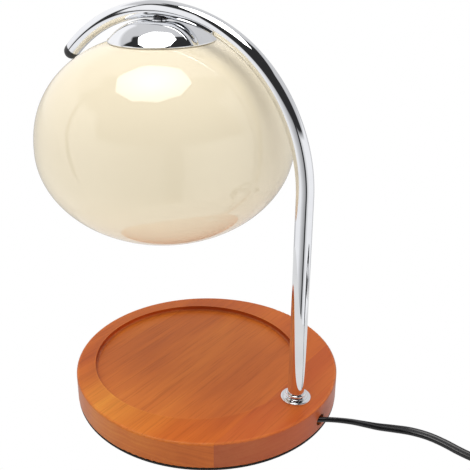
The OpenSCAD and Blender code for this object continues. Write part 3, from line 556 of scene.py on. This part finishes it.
MIRROR_COAT = surface(
    "mirror_coated_glass", [(0.78, 0.79, 0.82), (0.88, 0.89, 0.91)], 260, (0.04, 0.12), metal=1.0,
    relief=(420, 5e-5))
SLEEVE = surface(
    "woven_sleeve", [(0.62, 0.57, 0.46), (0.80, 0.76, 0.66)], 1800, (0.7, 0.9), relief=(2400, 4e-5))
CORES = surface("core_insulation", [(0.28, 0.13, 0.04), (0.36, 0.18, 0.06)], 300, (0.35, 0.5))
NYLON = surface("natural_nylon", [(0.70, 0.67, 0.58), (0.78, 0.75, 0.67)], 300, (0.4, 0.55))
BOARD = surface("circuit_board", [(0.03, 0.14, 0.05), (0.06, 0.22, 0.09)], 700, (0.35, 0.5))
POT = surface("blue_trimmer_case", [(0.03, 0.08, 0.22), (0.05, 0.11, 0.28)], 500, (0.3, 0.45))
LENS = clear_glass()

NODE_FINISHES = {
    "base_disc": WOOD, "cord_stop": NYLON, "core_wires": CORES, "wire_splices": NYLON,
    "stem_washer": ZINC, "stem_nut": ZINC, "tube_end_cap": MOULDED, "lead_wires": SLEEVE,
    "hanger_nipple": BRASS, "hanger_collar": DARK_STEEL_AND_SHADE, "cap_gasket": SILICONE, "glass_gasket": SILICONE,
    "retaining_washer": ZINC, "shade_nut": ZINC, "holder_bracket": ZINC, "bracket_nut": ZINC,
    "holder_screws": ZINC, "lampholder": CERAMIC, "holder_contacts": BRASS, "bulb_base": CERAMIC,
    "bulb_pins": ZINC, "bulb_reflector": MIRROR_COAT, "bulb_lens": LENS, "bulb_capsule": LENS,
    "dimmer_lower_shell": MOULDED, "dimmer_upper_shell": MOULDED, "dimmer_wheel": GRIP, "dimmer_pot": POT,
    "dimmer_board": BOARD, "dimmer_screws": ZINC}
for node_name, finish in NODE_FINISHES.items():
    for material_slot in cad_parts[node_name].material_slots:
        material_slot.material = finish


# Pieces

def glass_shade():
    """An ellipse below the widest part and a fuller curve above it, with a rolled lip at the mouth."""
    def wall(a, up, down):
        top, mouth = math.acos((SHADE_HOLE / a) ** (FULLNESS / 2)), math.acos(SHADE_MOUTH / a)
        above = [top * (1 - k / UPPER_STEPS) for k in range(UPPER_STEPS)]
        below = [mouth * k / LOWER_STEPS for k in range(LOWER_STEPS + 1)]
        return [(a * math.cos(t) ** (2 / FULLNESS), up * math.sin(t) ** (2 / FULLNESS)) for t in above] + [
            (a * math.cos(t), -down * math.sin(t)) for t in below]
    outside = wall(SHADE_R, SHADE_UP, SHADE_DOWN)
    inside = wall(SHADE_R - GLASS_WALL, SHADE_UP - GLASS_WALL, SHADE_DOWN - GLASS_WALL)[::-1]
    lip = (outside[-1][1] + inside[0][1]) / 2
    rolled = arc(SHADE_MOUTH, lip, (inside[0][1] - outside[-1][1]) / 2, -90, -270, 12)[1:-1]
    bm = turned(outside + rolled + inside, (ARCH_X, 0, SHADE_Z), ROUND_STEPS)
    return finished(bm, "opal_shade", OPAL, "lamp", ["glass_shade"])


def bent_tube():
    """Hollow tube: upright, shoulder and arch, bent from two rings of edges."""
    bm = bmesh.new()
    rims = []
    for radius in (TUBE_R, TUBE_R - TUBE_WALL):
        ring = bmesh.ops.create_circle(bm, segments=TUBE_SEGMENTS, radius=radius * MM)["verts"]
        bmesh.ops.translate(bm, vec=Vector((STEM_X, 0, TUBE_FOOT)) * MM, verts=ring)
        rims.append(list({e for v in ring for e in v.link_edges}))
    start = [e for rim in rims for e in rim]
    verts, edges = grow_ring(bm, start)
    bmesh.ops.translate(bm, vec=(0, 0, (BEND_Z - TUBE_FOOT) * MM), verts=verts)
    shoulder = (SHOULDER_X, 0, BEND_Z), SHOULDER_TURN
    arch = (ARCH_X, 0, ARCH_Z), ARCH_TURN - SHOULDER_TURN
    for centre, turn in (shoulder, arch):
        last = bmesh.ops.spin(
            bm, geom=verts + edges, cent=Vector(centre) * MM, axis=(0, -1, 0), angle=math.radians(turn),
            steps=BEND_STEPS)["geom_last"]
        verts, edges = only(last, bmesh.types.BMVert), only(last, bmesh.types.BMEdge)
    bmesh.ops.bridge_loops(bm, edges=start)
    bmesh.ops.bridge_loops(bm, edges=edges)
    close_up(bm)
    return finished(bm, "bent_tube", CHROME, "lamp", ["stem_tube", "arch_tube"])


def dome_cap():
    """A spun cap: rolled bead, round shoulder, flattened crown and a low boss that carries the collar."""
    def shell(inset):
        shoulder = arc(CROWN_R, CAP_SINK, CAP_CURVE - inset, 90, CAP_FOOT, 40)
        boss = [(CAP_HOLE, CAP_RISE - inset), (BOSS_R - inset, CAP_RISE - inset)]
        return boss + [(BOSS_R - inset, shoulder[0][1])] + shoulder
    bead = arc(BEAD_AT, 0, CAP_BEAD, BEAD_FROM, BEAD_TO, 26)
    outside, inside = shell(0.0), shell(CAP_WALL)[::-1]
    bm = turned(outside + bead + inside, (ARCH_X, 0, CAP_RIM), ROUND_STEPS)
    return finished(bm, "dome_cap", CHROME, "lamp", ["shade_cap"])


def soft_foot():
    """The foam disc under the base, pressed out to a round edge by the weight on it."""
    bm = bmesh.new()
    bmesh.ops.create_circle(bm, cap_ends=True, segments=FOOT_SEGMENTS, radius=FOOT_R * MM)
    thicken(bm, bm.faces[:], (0, 0, FOOT_H))
    ease_corners(bm, FOOT_ROUND, 4)
    return finished(bm, "soft_foot", FOAM, "lamp", ["base_pad"])


def foot_flange():
    """Plate, step and hub round the foot of the tube."""
    def rounded(radius, top, rounding, steps):
        return arc(radius - rounding, top - rounding, rounding, 0, 90, steps)
    bore, plate_top = TUBE_R + FLANGE_GAP, 2 * PLATE_ROUND
    profile = [(bore, 0), (FLANGE_R, 0)] + rounded(FLANGE_R, plate_top, PLATE_ROUND, 8)
    profile += [(STEP_R + GROOVE_AT + GROOVE_DEPTH, plate_top),
                (STEP_R + GROOVE_AT, plate_top - GROOVE_DEPTH), (STEP_R, plate_top)]
    profile += rounded(STEP_R, STEP_TOP, STEP_ROUND, 6)
    profile += [(HUB_R + GROOVE_DEPTH, STEP_TOP), (HUB_R, STEP_TOP + GROOVE_DEPTH)]
    profile += rounded(HUB_R, FLANGE_H, HUB_ROUND, 8) + [(bore, FLANGE_H)]
    bm = turned(profile, (STEM_X, 0, BASE_TOP), FLANGE_STEPS)
    return finished(bm, "foot_flange", CHROME, "lamp", ["stem_flange"])


def cord_sleeve(name, path, last_roll):
    """Tapered, ribbed sleeve on the cord, from the wall of the dimmer outwards."""
    marks = ribbed(SLEEVE_ROOT, SLEEVE_TIP, SLEEVE_L)
    places = [place_along(path, WALL_T + at) for at, _ in marks]
    rolls = [last_roll * at / SLEEVE_L for at, _ in marks]
    bm = swept(
        places, rolled_sides(places, rolls), soft_block(SLEEVE_SQUARENESS), [size for _, size in marks])
    return finished(bm, name, MOULDED, "lamp")


def moulded_plug():
    """Ribbed neck, a body that opens like a bell, a groove and a rounded lip at the face."""
    shape = ribbed(NECK_TIP, NECK_ROOT, NECK_L)
    for k in range(BELL_STEPS + 1):
        opening = (1 - math.cos(math.pi * k / BELL_STEPS)) / 2
        shape.append((NECK_L + (PLUG_L - LIP_L) * k / BELL_STEPS, NECK_ROOT.lerp(PLUG_BELL, opening)))
    lip = NECK_L + PLUG_L - LIP_L
    sizes = (PLUG_BELL - LIP_GROOVE, PLUG_BELL - LIP_GROOVE, PLUG_LIP - LIP_EASE, PLUG_LIP)
    shape += [(lip + at, size) for at, size in zip(LIP_PLACES, sizes)]
    for back, inwards in arc(LIP_L - LIP_ROUND, LIP_ROUND, LIP_ROUND, -90, 0, 8):
        shape.append((lip + back, PLUG_LIP - Vector((inwards, inwards))))
    places = [PLUG_NECK_END - Vector((at, 0, 0)) for at, _ in shape]
    sides = [Vector((0, 1, 0))] * len(places)
    bm = swept(places, sides, soft_block(PLUG_SQUARENESS), [size for _, size in shape])
    return finished(bm, "moulded_plug", MOULDED, "lamp", ["plug_body"])


def blades():
    """Two flat blades with rounded tips, a hole near the tip and eased edges."""
    root = PLUG_NECK_END - Vector((NECK_L + PLUG_L - BLADE_ROOT, 0, 0))
    reach, half = BLADE_L + BLADE_ROOT, BLADE_W / 2
    outline = [(0, half), (0, -half)]
    outline += arc(-reach + BLADE_TIP, -half + BLADE_TIP, BLADE_TIP, 270, 180, 6)
    outline += arc(-reach + BLADE_TIP, half - BLADE_TIP, BLADE_TIP, 180, 90, 6)
    hole = arc(-reach + BLADE_HOLE_AT, 0, BLADE_HOLE, 0, 345, 23)
    bm = bmesh.new()
    for side in (-1, 1):
        y = side * BLADE_PITCH / 2 - BLADE_T / 2
        rims = []
        for loop in (outline, hole):
            rims += closed_loop(bm, [bm.verts.new((root + Vector((x, y, z))) * MM) for x, z in loop])
        flat = bmesh.ops.triangle_fill(bm, edges=rims, use_beauty=True)["geom"]
        thicken(bm, only(flat, bmesh.types.BMFace), (0, BLADE_T, 0))
    ease_corners(bm, BLADE_EASE, 2)
    return finished(bm, "plug_prongs", BRASS, "lamp", ["plug_blades"])


def coil_strap():
    """A woven strap wrapped once round the turns, its end lapped over itself on top."""
    out = Vector((math.cos(math.radians(STRAP_TURN)), math.sin(math.radians(STRAP_TURN)), 0))
    low, high = STRAP_LOW + STRAP_BEND, STRAP_HIGH - STRAP_BEND
    inner, outer = STRAP_IN + STRAP_BEND, STRAP_OUT - STRAP_BEND
    wrap = [(inner + STRAP_START, STRAP_HIGH)]
    for r, z, start in ((outer, high, 90), (outer, low, 0), (inner, low, -90), (inner, high, -180)):
        wrap += arc(r, z, STRAP_BEND, start, start - 90, 8)
    lap = STRAP_HIGH + STRAP_T + LAP_GAP
    wrap += [(inner + r, lap + z) for r, z in LAP_PLACES]
    centre = Vector((*COIL_AT, 0))
    path = [centre + out * r + Vector((0, 0, z)) for r, z in wrap]
    across = [out.cross(UP)] * len(path)
    section = [(u * STRAP_W / 2, v * STRAP_T / 2) for u, v in soft_block(STRAP_SQUARENESS, STRAP_STEPS)]
    return finished(swept(path, across, section), "coil_strap", STRAP, "lamp", ["coil_tie"])


def supply_cord():
    """The flat cord: a stub inside the base, the lead to the dimmer, and the stored length to the plug."""
    inside = [EXIT - STUB_L * EXIT_WAY, EXIT - STUB_L / 2 * EXIT_WAY, EXIT]
    finished(laid_cord(inside, [EXIT_ROLL] * 3), "cord_in_base", CORD, "lamp", ["cord_stub"])

    path = smooth([EXIT, EXIT + EXIT_RUN * EXIT_WAY] + [Vector(p) for p in LEAD_PLACES] + [DIMMER_IN])
    lead = finished(
        laid_cord(path, smooth(LEAD_ROLLS)), "lead_to_dimmer", CORD, "lamp", ["cord_lead"])
    dimmer = [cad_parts[n] for n in (
        "dimmer_lower_shell", "dimmer_upper_shell", "dimmer_wheel", "dimmer_pot", "dimmer_board",
        "dimmer_screws")]
    dimmer.append(cord_sleeve("sleeve_into_dimmer", path[::-1], 0))

    link = smooth([DIMMER_OUT] + [Vector(p) for p in LINK_PLACES] + [coil_place(0)])
    coil = [coil_place(k / COIL_STEPS) for k in range(1, round(COIL_ENDS * COIL_STEPS))]
    tail = smooth([coil_place(COIL_ENDS)] + [Vector(p) for p in TAIL_PLACES] + [PLUG_NECK_END])
    path = link + coil + tail
    rolls = smooth(LINK_ROLLS) + [COIL_ROLL] * len(coil) + smooth(TAIL_ROLLS)
    stored = finished(
        laid_cord(path, rolls), "stored_cord", CORD, "lamp", ["cord_link", "cord_coil", "cord_tail"])
    sleeve = cord_sleeve("sleeve_from_dimmer", path, SLEEVE_ROLL)
    coil_strap()
    moulded_plug()
    blades()


supply_cord()
glass_shade()
bent_tube()
dome_cap()
soft_foot()
foot_flange()


# Studio: a pale table, an octagonal softbox overhead, and a room that only the polished pieces mirror

# Floor, and the round table top that polished metal mirrors in its place
FLOOR_HALF, FLOOR_DROP, FLOOR_TINT, FLOOR_FILL = 6.0, 0.0002, (0.88, 0.88, 0.88, 1.0), 0.22
TABLE_R, TABLE_GLOW = 0.20, 0.75

# Lit cloths: power for the light they give, then what mirrors see in the middle and at the edge
CLOTH = (1.0, 0.99, 0.97)
SOFTBOX_R, SOFTBOX_AT, SOFTBOX_AIM = 0.36, (-0.085, -0.085, 1.0), (-0.03, -0.03, 0.0)
SOFTBOX_LIGHT = (4.2, 7.2, 3.6)
PANEL_HALF, PANEL_AT, PANEL_AIM = (0.275, 0.17), (-0.48, 0.39, 1.0), (-0.03, 0.0, 0.2)
PANEL_LIGHT, PANEL_REACH = (0.5, 1.2, 1.0), 0.5

# Room: even fill, darkest grey, blue cast of the greys, softness of the eaves, and the gap between two wall
# panels, with its place and lean in degrees and its half width in turns
ROOM_FILL, WHITE = (0.78, 0.78, 0.78, 1.0), (1.0, 1.0, 1.0, 1.0)
DARK, BLUE_CAST, EAVES_SOFT = 0.03, 1.02, 0.09
GAP_AT, GAP_LEAN, GAP_IN, GAP_OUT = -86.0, -22.0, 0.0045, 0.0085


def stage_mesh(name, bm, tree_maker):
    mesh = bpy.data.meshes.new(name)
    bm.to_mesh(mesh)
    bm.free()
    material = bpy.data.materials.new(name)
    material.use_nodes = True
    material.node_tree.nodes.clear()
    out = add(material.node_tree, "ShaderNodeOutputMaterial")
    material.node_tree.links.new(tree_maker(material.node_tree), out.inputs["Surface"])
    mesh.materials.append(material)
    thing = bpy.data.objects.new(name, mesh)
    bpy.context.scene.collection.objects.link(thing)
    return thing


def glow(tree, strength, colour=(1.0, 1.0, 1.0)):
    return add(tree, "ShaderNodeEmission", {"Color": (*colour, 1.0), "Strength": strength}).outputs[0]


def either(tree, factor, no, yes):
    return add(tree, "ShaderNodeMixShader", {0: factor, 1: no, 2: yes}).outputs[0]


def pale_floor(tree):
    """Pale card for the light, plain white to the camera, and only the table top for mirrors."""
    card = add(tree, "ShaderNodeBsdfPrincipled", {
        "Base Color": FLOOR_TINT, "Roughness": 0.7, "Emission Color": WHITE,
        "Emission Strength": FLOOR_FILL}).outputs[0]
    beyond = math_node(tree, "GREATER_THAN", length_of(tree, own_coords(tree)), TABLE_R)
    mirrored = either(
        tree, beyond, glow(tree, TABLE_GLOW), add(tree, "ShaderNodeBsdfTransparent").outputs[0])
    path = add(tree, "ShaderNodeLightPath")
    lit = either(tree, path.outputs["Is Glossy Ray"], card, mirrored)
    return either(tree, path.outputs["Is Camera Ray"], lit, glow(tree, 1.0))


def lamp_face(power, mirrored, edge, reach):
    """Lit cloth: power for the light it gives; mirrors see it fall off from the middle to the edge."""
    def shade(tree):
        away = between(tree, length_of(tree, own_coords(tree)), 0.0, reach)
        seen = add(tree, "ShaderNodeLightPath").outputs["Is Glossy Ray"]
        return glow(tree, spread(tree, seen, power, spread(tree, away, mirrored, edge)), CLOTH)
    return shade


def aimed(thing, at, aim):
    thing.location = at
    thing.rotation_euler = (Vector(aim) - Vector(at)).to_track_quat("Z", "Y").to_euler()


def lights():
    """Floor, softbox overhead, and a panel at the back that neither camera nor mirrors see."""
    bm = bmesh.new()
    bmesh.ops.create_grid(bm, x_segments=1, y_segments=1, size=FLOOR_HALF)
    stage_mesh("floor", bm, pale_floor).location.z = -FLOOR_DROP

    bm = bmesh.new()
    bmesh.ops.create_circle(bm, cap_ends=True, segments=8, radius=SOFTBOX_R)
    softbox = stage_mesh("top_softbox", bm, lamp_face(*SOFTBOX_LIGHT, SOFTBOX_R))
    aimed(softbox, SOFTBOX_AT, SOFTBOX_AIM)

    bm = bmesh.new()
    bmesh.ops.create_grid(bm, x_segments=1, y_segments=1, size=1.0)
    bmesh.ops.scale(bm, vec=(*PANEL_HALF, 1.0), verts=bm.verts)
    panel = stage_mesh("back_panel", bm, lamp_face(*PANEL_LIGHT, PANEL_REACH))
    aimed(panel, PANEL_AT, PANEL_AIM)
    panel.visible_camera = panel.visible_glossy = False


def around(tree, turn, stops):
    """Greys round the room, from stops of (degrees anticlockwise from the camera's side, brightness)."""
    return ramp(tree, turn, [
        (0.5 + degrees / 360.0, (value, value, value * BLUE_CAST)) for degrees, value in stops])


def studio_room():
    """White to the eye, an even fill for the light, and walls and a dark ceiling for the mirror finishes."""
    world = bpy.data.worlds.new("studio")
    bpy.context.scene.world = world
    world.use_nodes = True
    tree = world.node_tree
    camera_side = math.atan2(CAMERA_AT[1], CAMERA_AT[0])
    way = axes_of(tree, add(tree, "ShaderNodeVectorRotate", {
        "Vector": add(tree, "ShaderNodeTexCoord").outputs["Generated"], "Angle": -camera_side},
        rotation_type="Z_AXIS").outputs["Vector"])
    turn = math_node(
        tree, "MULTIPLY_ADD", math_node(tree, "ARCTAN2", way["Y"], way["X"]), 0.5 / math.pi, 0.5)
    height = way["Z"]

    # Walls, with a dark door near the camera's side, and brighter above the horizon on the far side
    near_walls = [
        (-60, 0.90), (-36, 0.62), (-8, 0.40), (0, 0.36), (3, DARK), (16, DARK), (20, 0.62), (45, 0.92),
        (110, 0.92), (140, 0.58)]
    low_walls = around(tree, turn, [
        (-180, 0.42), (-140, 0.58), (-115, 0.90), *near_walls, (180, 0.42)])
    high_walls = around(tree, turn, [
        (-180, 0.66), (-168, 0.98), (-112, 0.98), *near_walls, (180, 0.66)])
    walls = tinted(tree, low_walls, between(tree, height, -0.02, 0.04), high_walls)

    # Ceiling, dark on the camera's side and further round towards its ridge, from eaves of uneven height
    slope = around(tree, turn, [
        (-180, 0.66), (-115, 0.62), (-110, 0.58), (-107, DARK), (72, DARK), (80, 0.62), (120, 0.62),
        (180, 0.66)])
    ridge = around(tree, turn, [
        (-180, 0.66), (-130, 0.62), (-123, DARK), (121, DARK), (128, 0.62), (180, 0.66)])
    ceiling = tinted(tree, slope, between(tree, height, 0.77, 0.80), ridge)
    eaves = around(tree, turn, [
        (-180, 0.20), (-172, 0.24), (-162, 0.46), (-107, 0.54), (-70, 0.58), (-58, 0.24), (60, 0.24),
        (80, 0.20), (180, 0.20)])
    upper = between(tree, height, eaves, math_node(tree, "ADD", eaves, EAVES_SOFT))
    room = tinted(tree, walls, upper, ceiling)

    # A leaning gap between two wall panels, from just below the horizon up to the ceiling
    gap_at = math_node(tree, "MULTIPLY_ADD", height, GAP_LEAN / 360.0, 0.5 + GAP_AT / 360.0)
    off_gap = math_node(tree, "ABSOLUTE", math_node(tree, "SUBTRACT", turn, gap_at))
    gap_ends = math_node(
        tree, "MULTIPLY", between(tree, height, -0.36, -0.28), between(tree, height, 0.80, 0.74))
    in_gap = math_node(tree, "MULTIPLY", between(tree, off_gap, GAP_OUT, GAP_IN), gap_ends)
    room = tinted(tree, room, in_gap, (DARK, DARK, DARK, 1.0))

    path = add(tree, "ShaderNodeLightPath")
    lit = tinted(tree, ROOM_FILL, path.outputs["Is Glossy Ray"], room)
    seen = tinted(tree, lit, path.outputs["Is Camera Ray"], WHITE)
    back = tree.nodes["Background"]
    tree.links.new(seen, back.inputs["Color"])
    back.inputs["Strength"].default_value = 1.0


def camera():
    data = bpy.data.cameras.new("camera")
    data.sensor_width = CAMERA_SENSOR
    data.lens = CAMERA_LENS
    data.shift_x, data.shift_y = CAMERA_SHIFT
    data.clip_start = CAMERA_NEAR
    seat = bpy.data.objects.new("camera", data)
    bpy.context.scene.collection.objects.link(seat)
    seat.matrix_world = (Matrix.Translation(CAMERA_AT) @ Matrix.Rotation(math.radians(CAMERA_TURN), 4, "Z")
                         @ Matrix.Rotation(math.radians(CAMERA_PITCH), 4, "X")
                         @ Matrix.Rotation(math.radians(CAMERA_ROLL), 4, "Z"))
    bpy.context.scene.camera = seat


lights()
studio_room()
camera()
bpy.context.scene.view_settings.view_transform = "Standard"
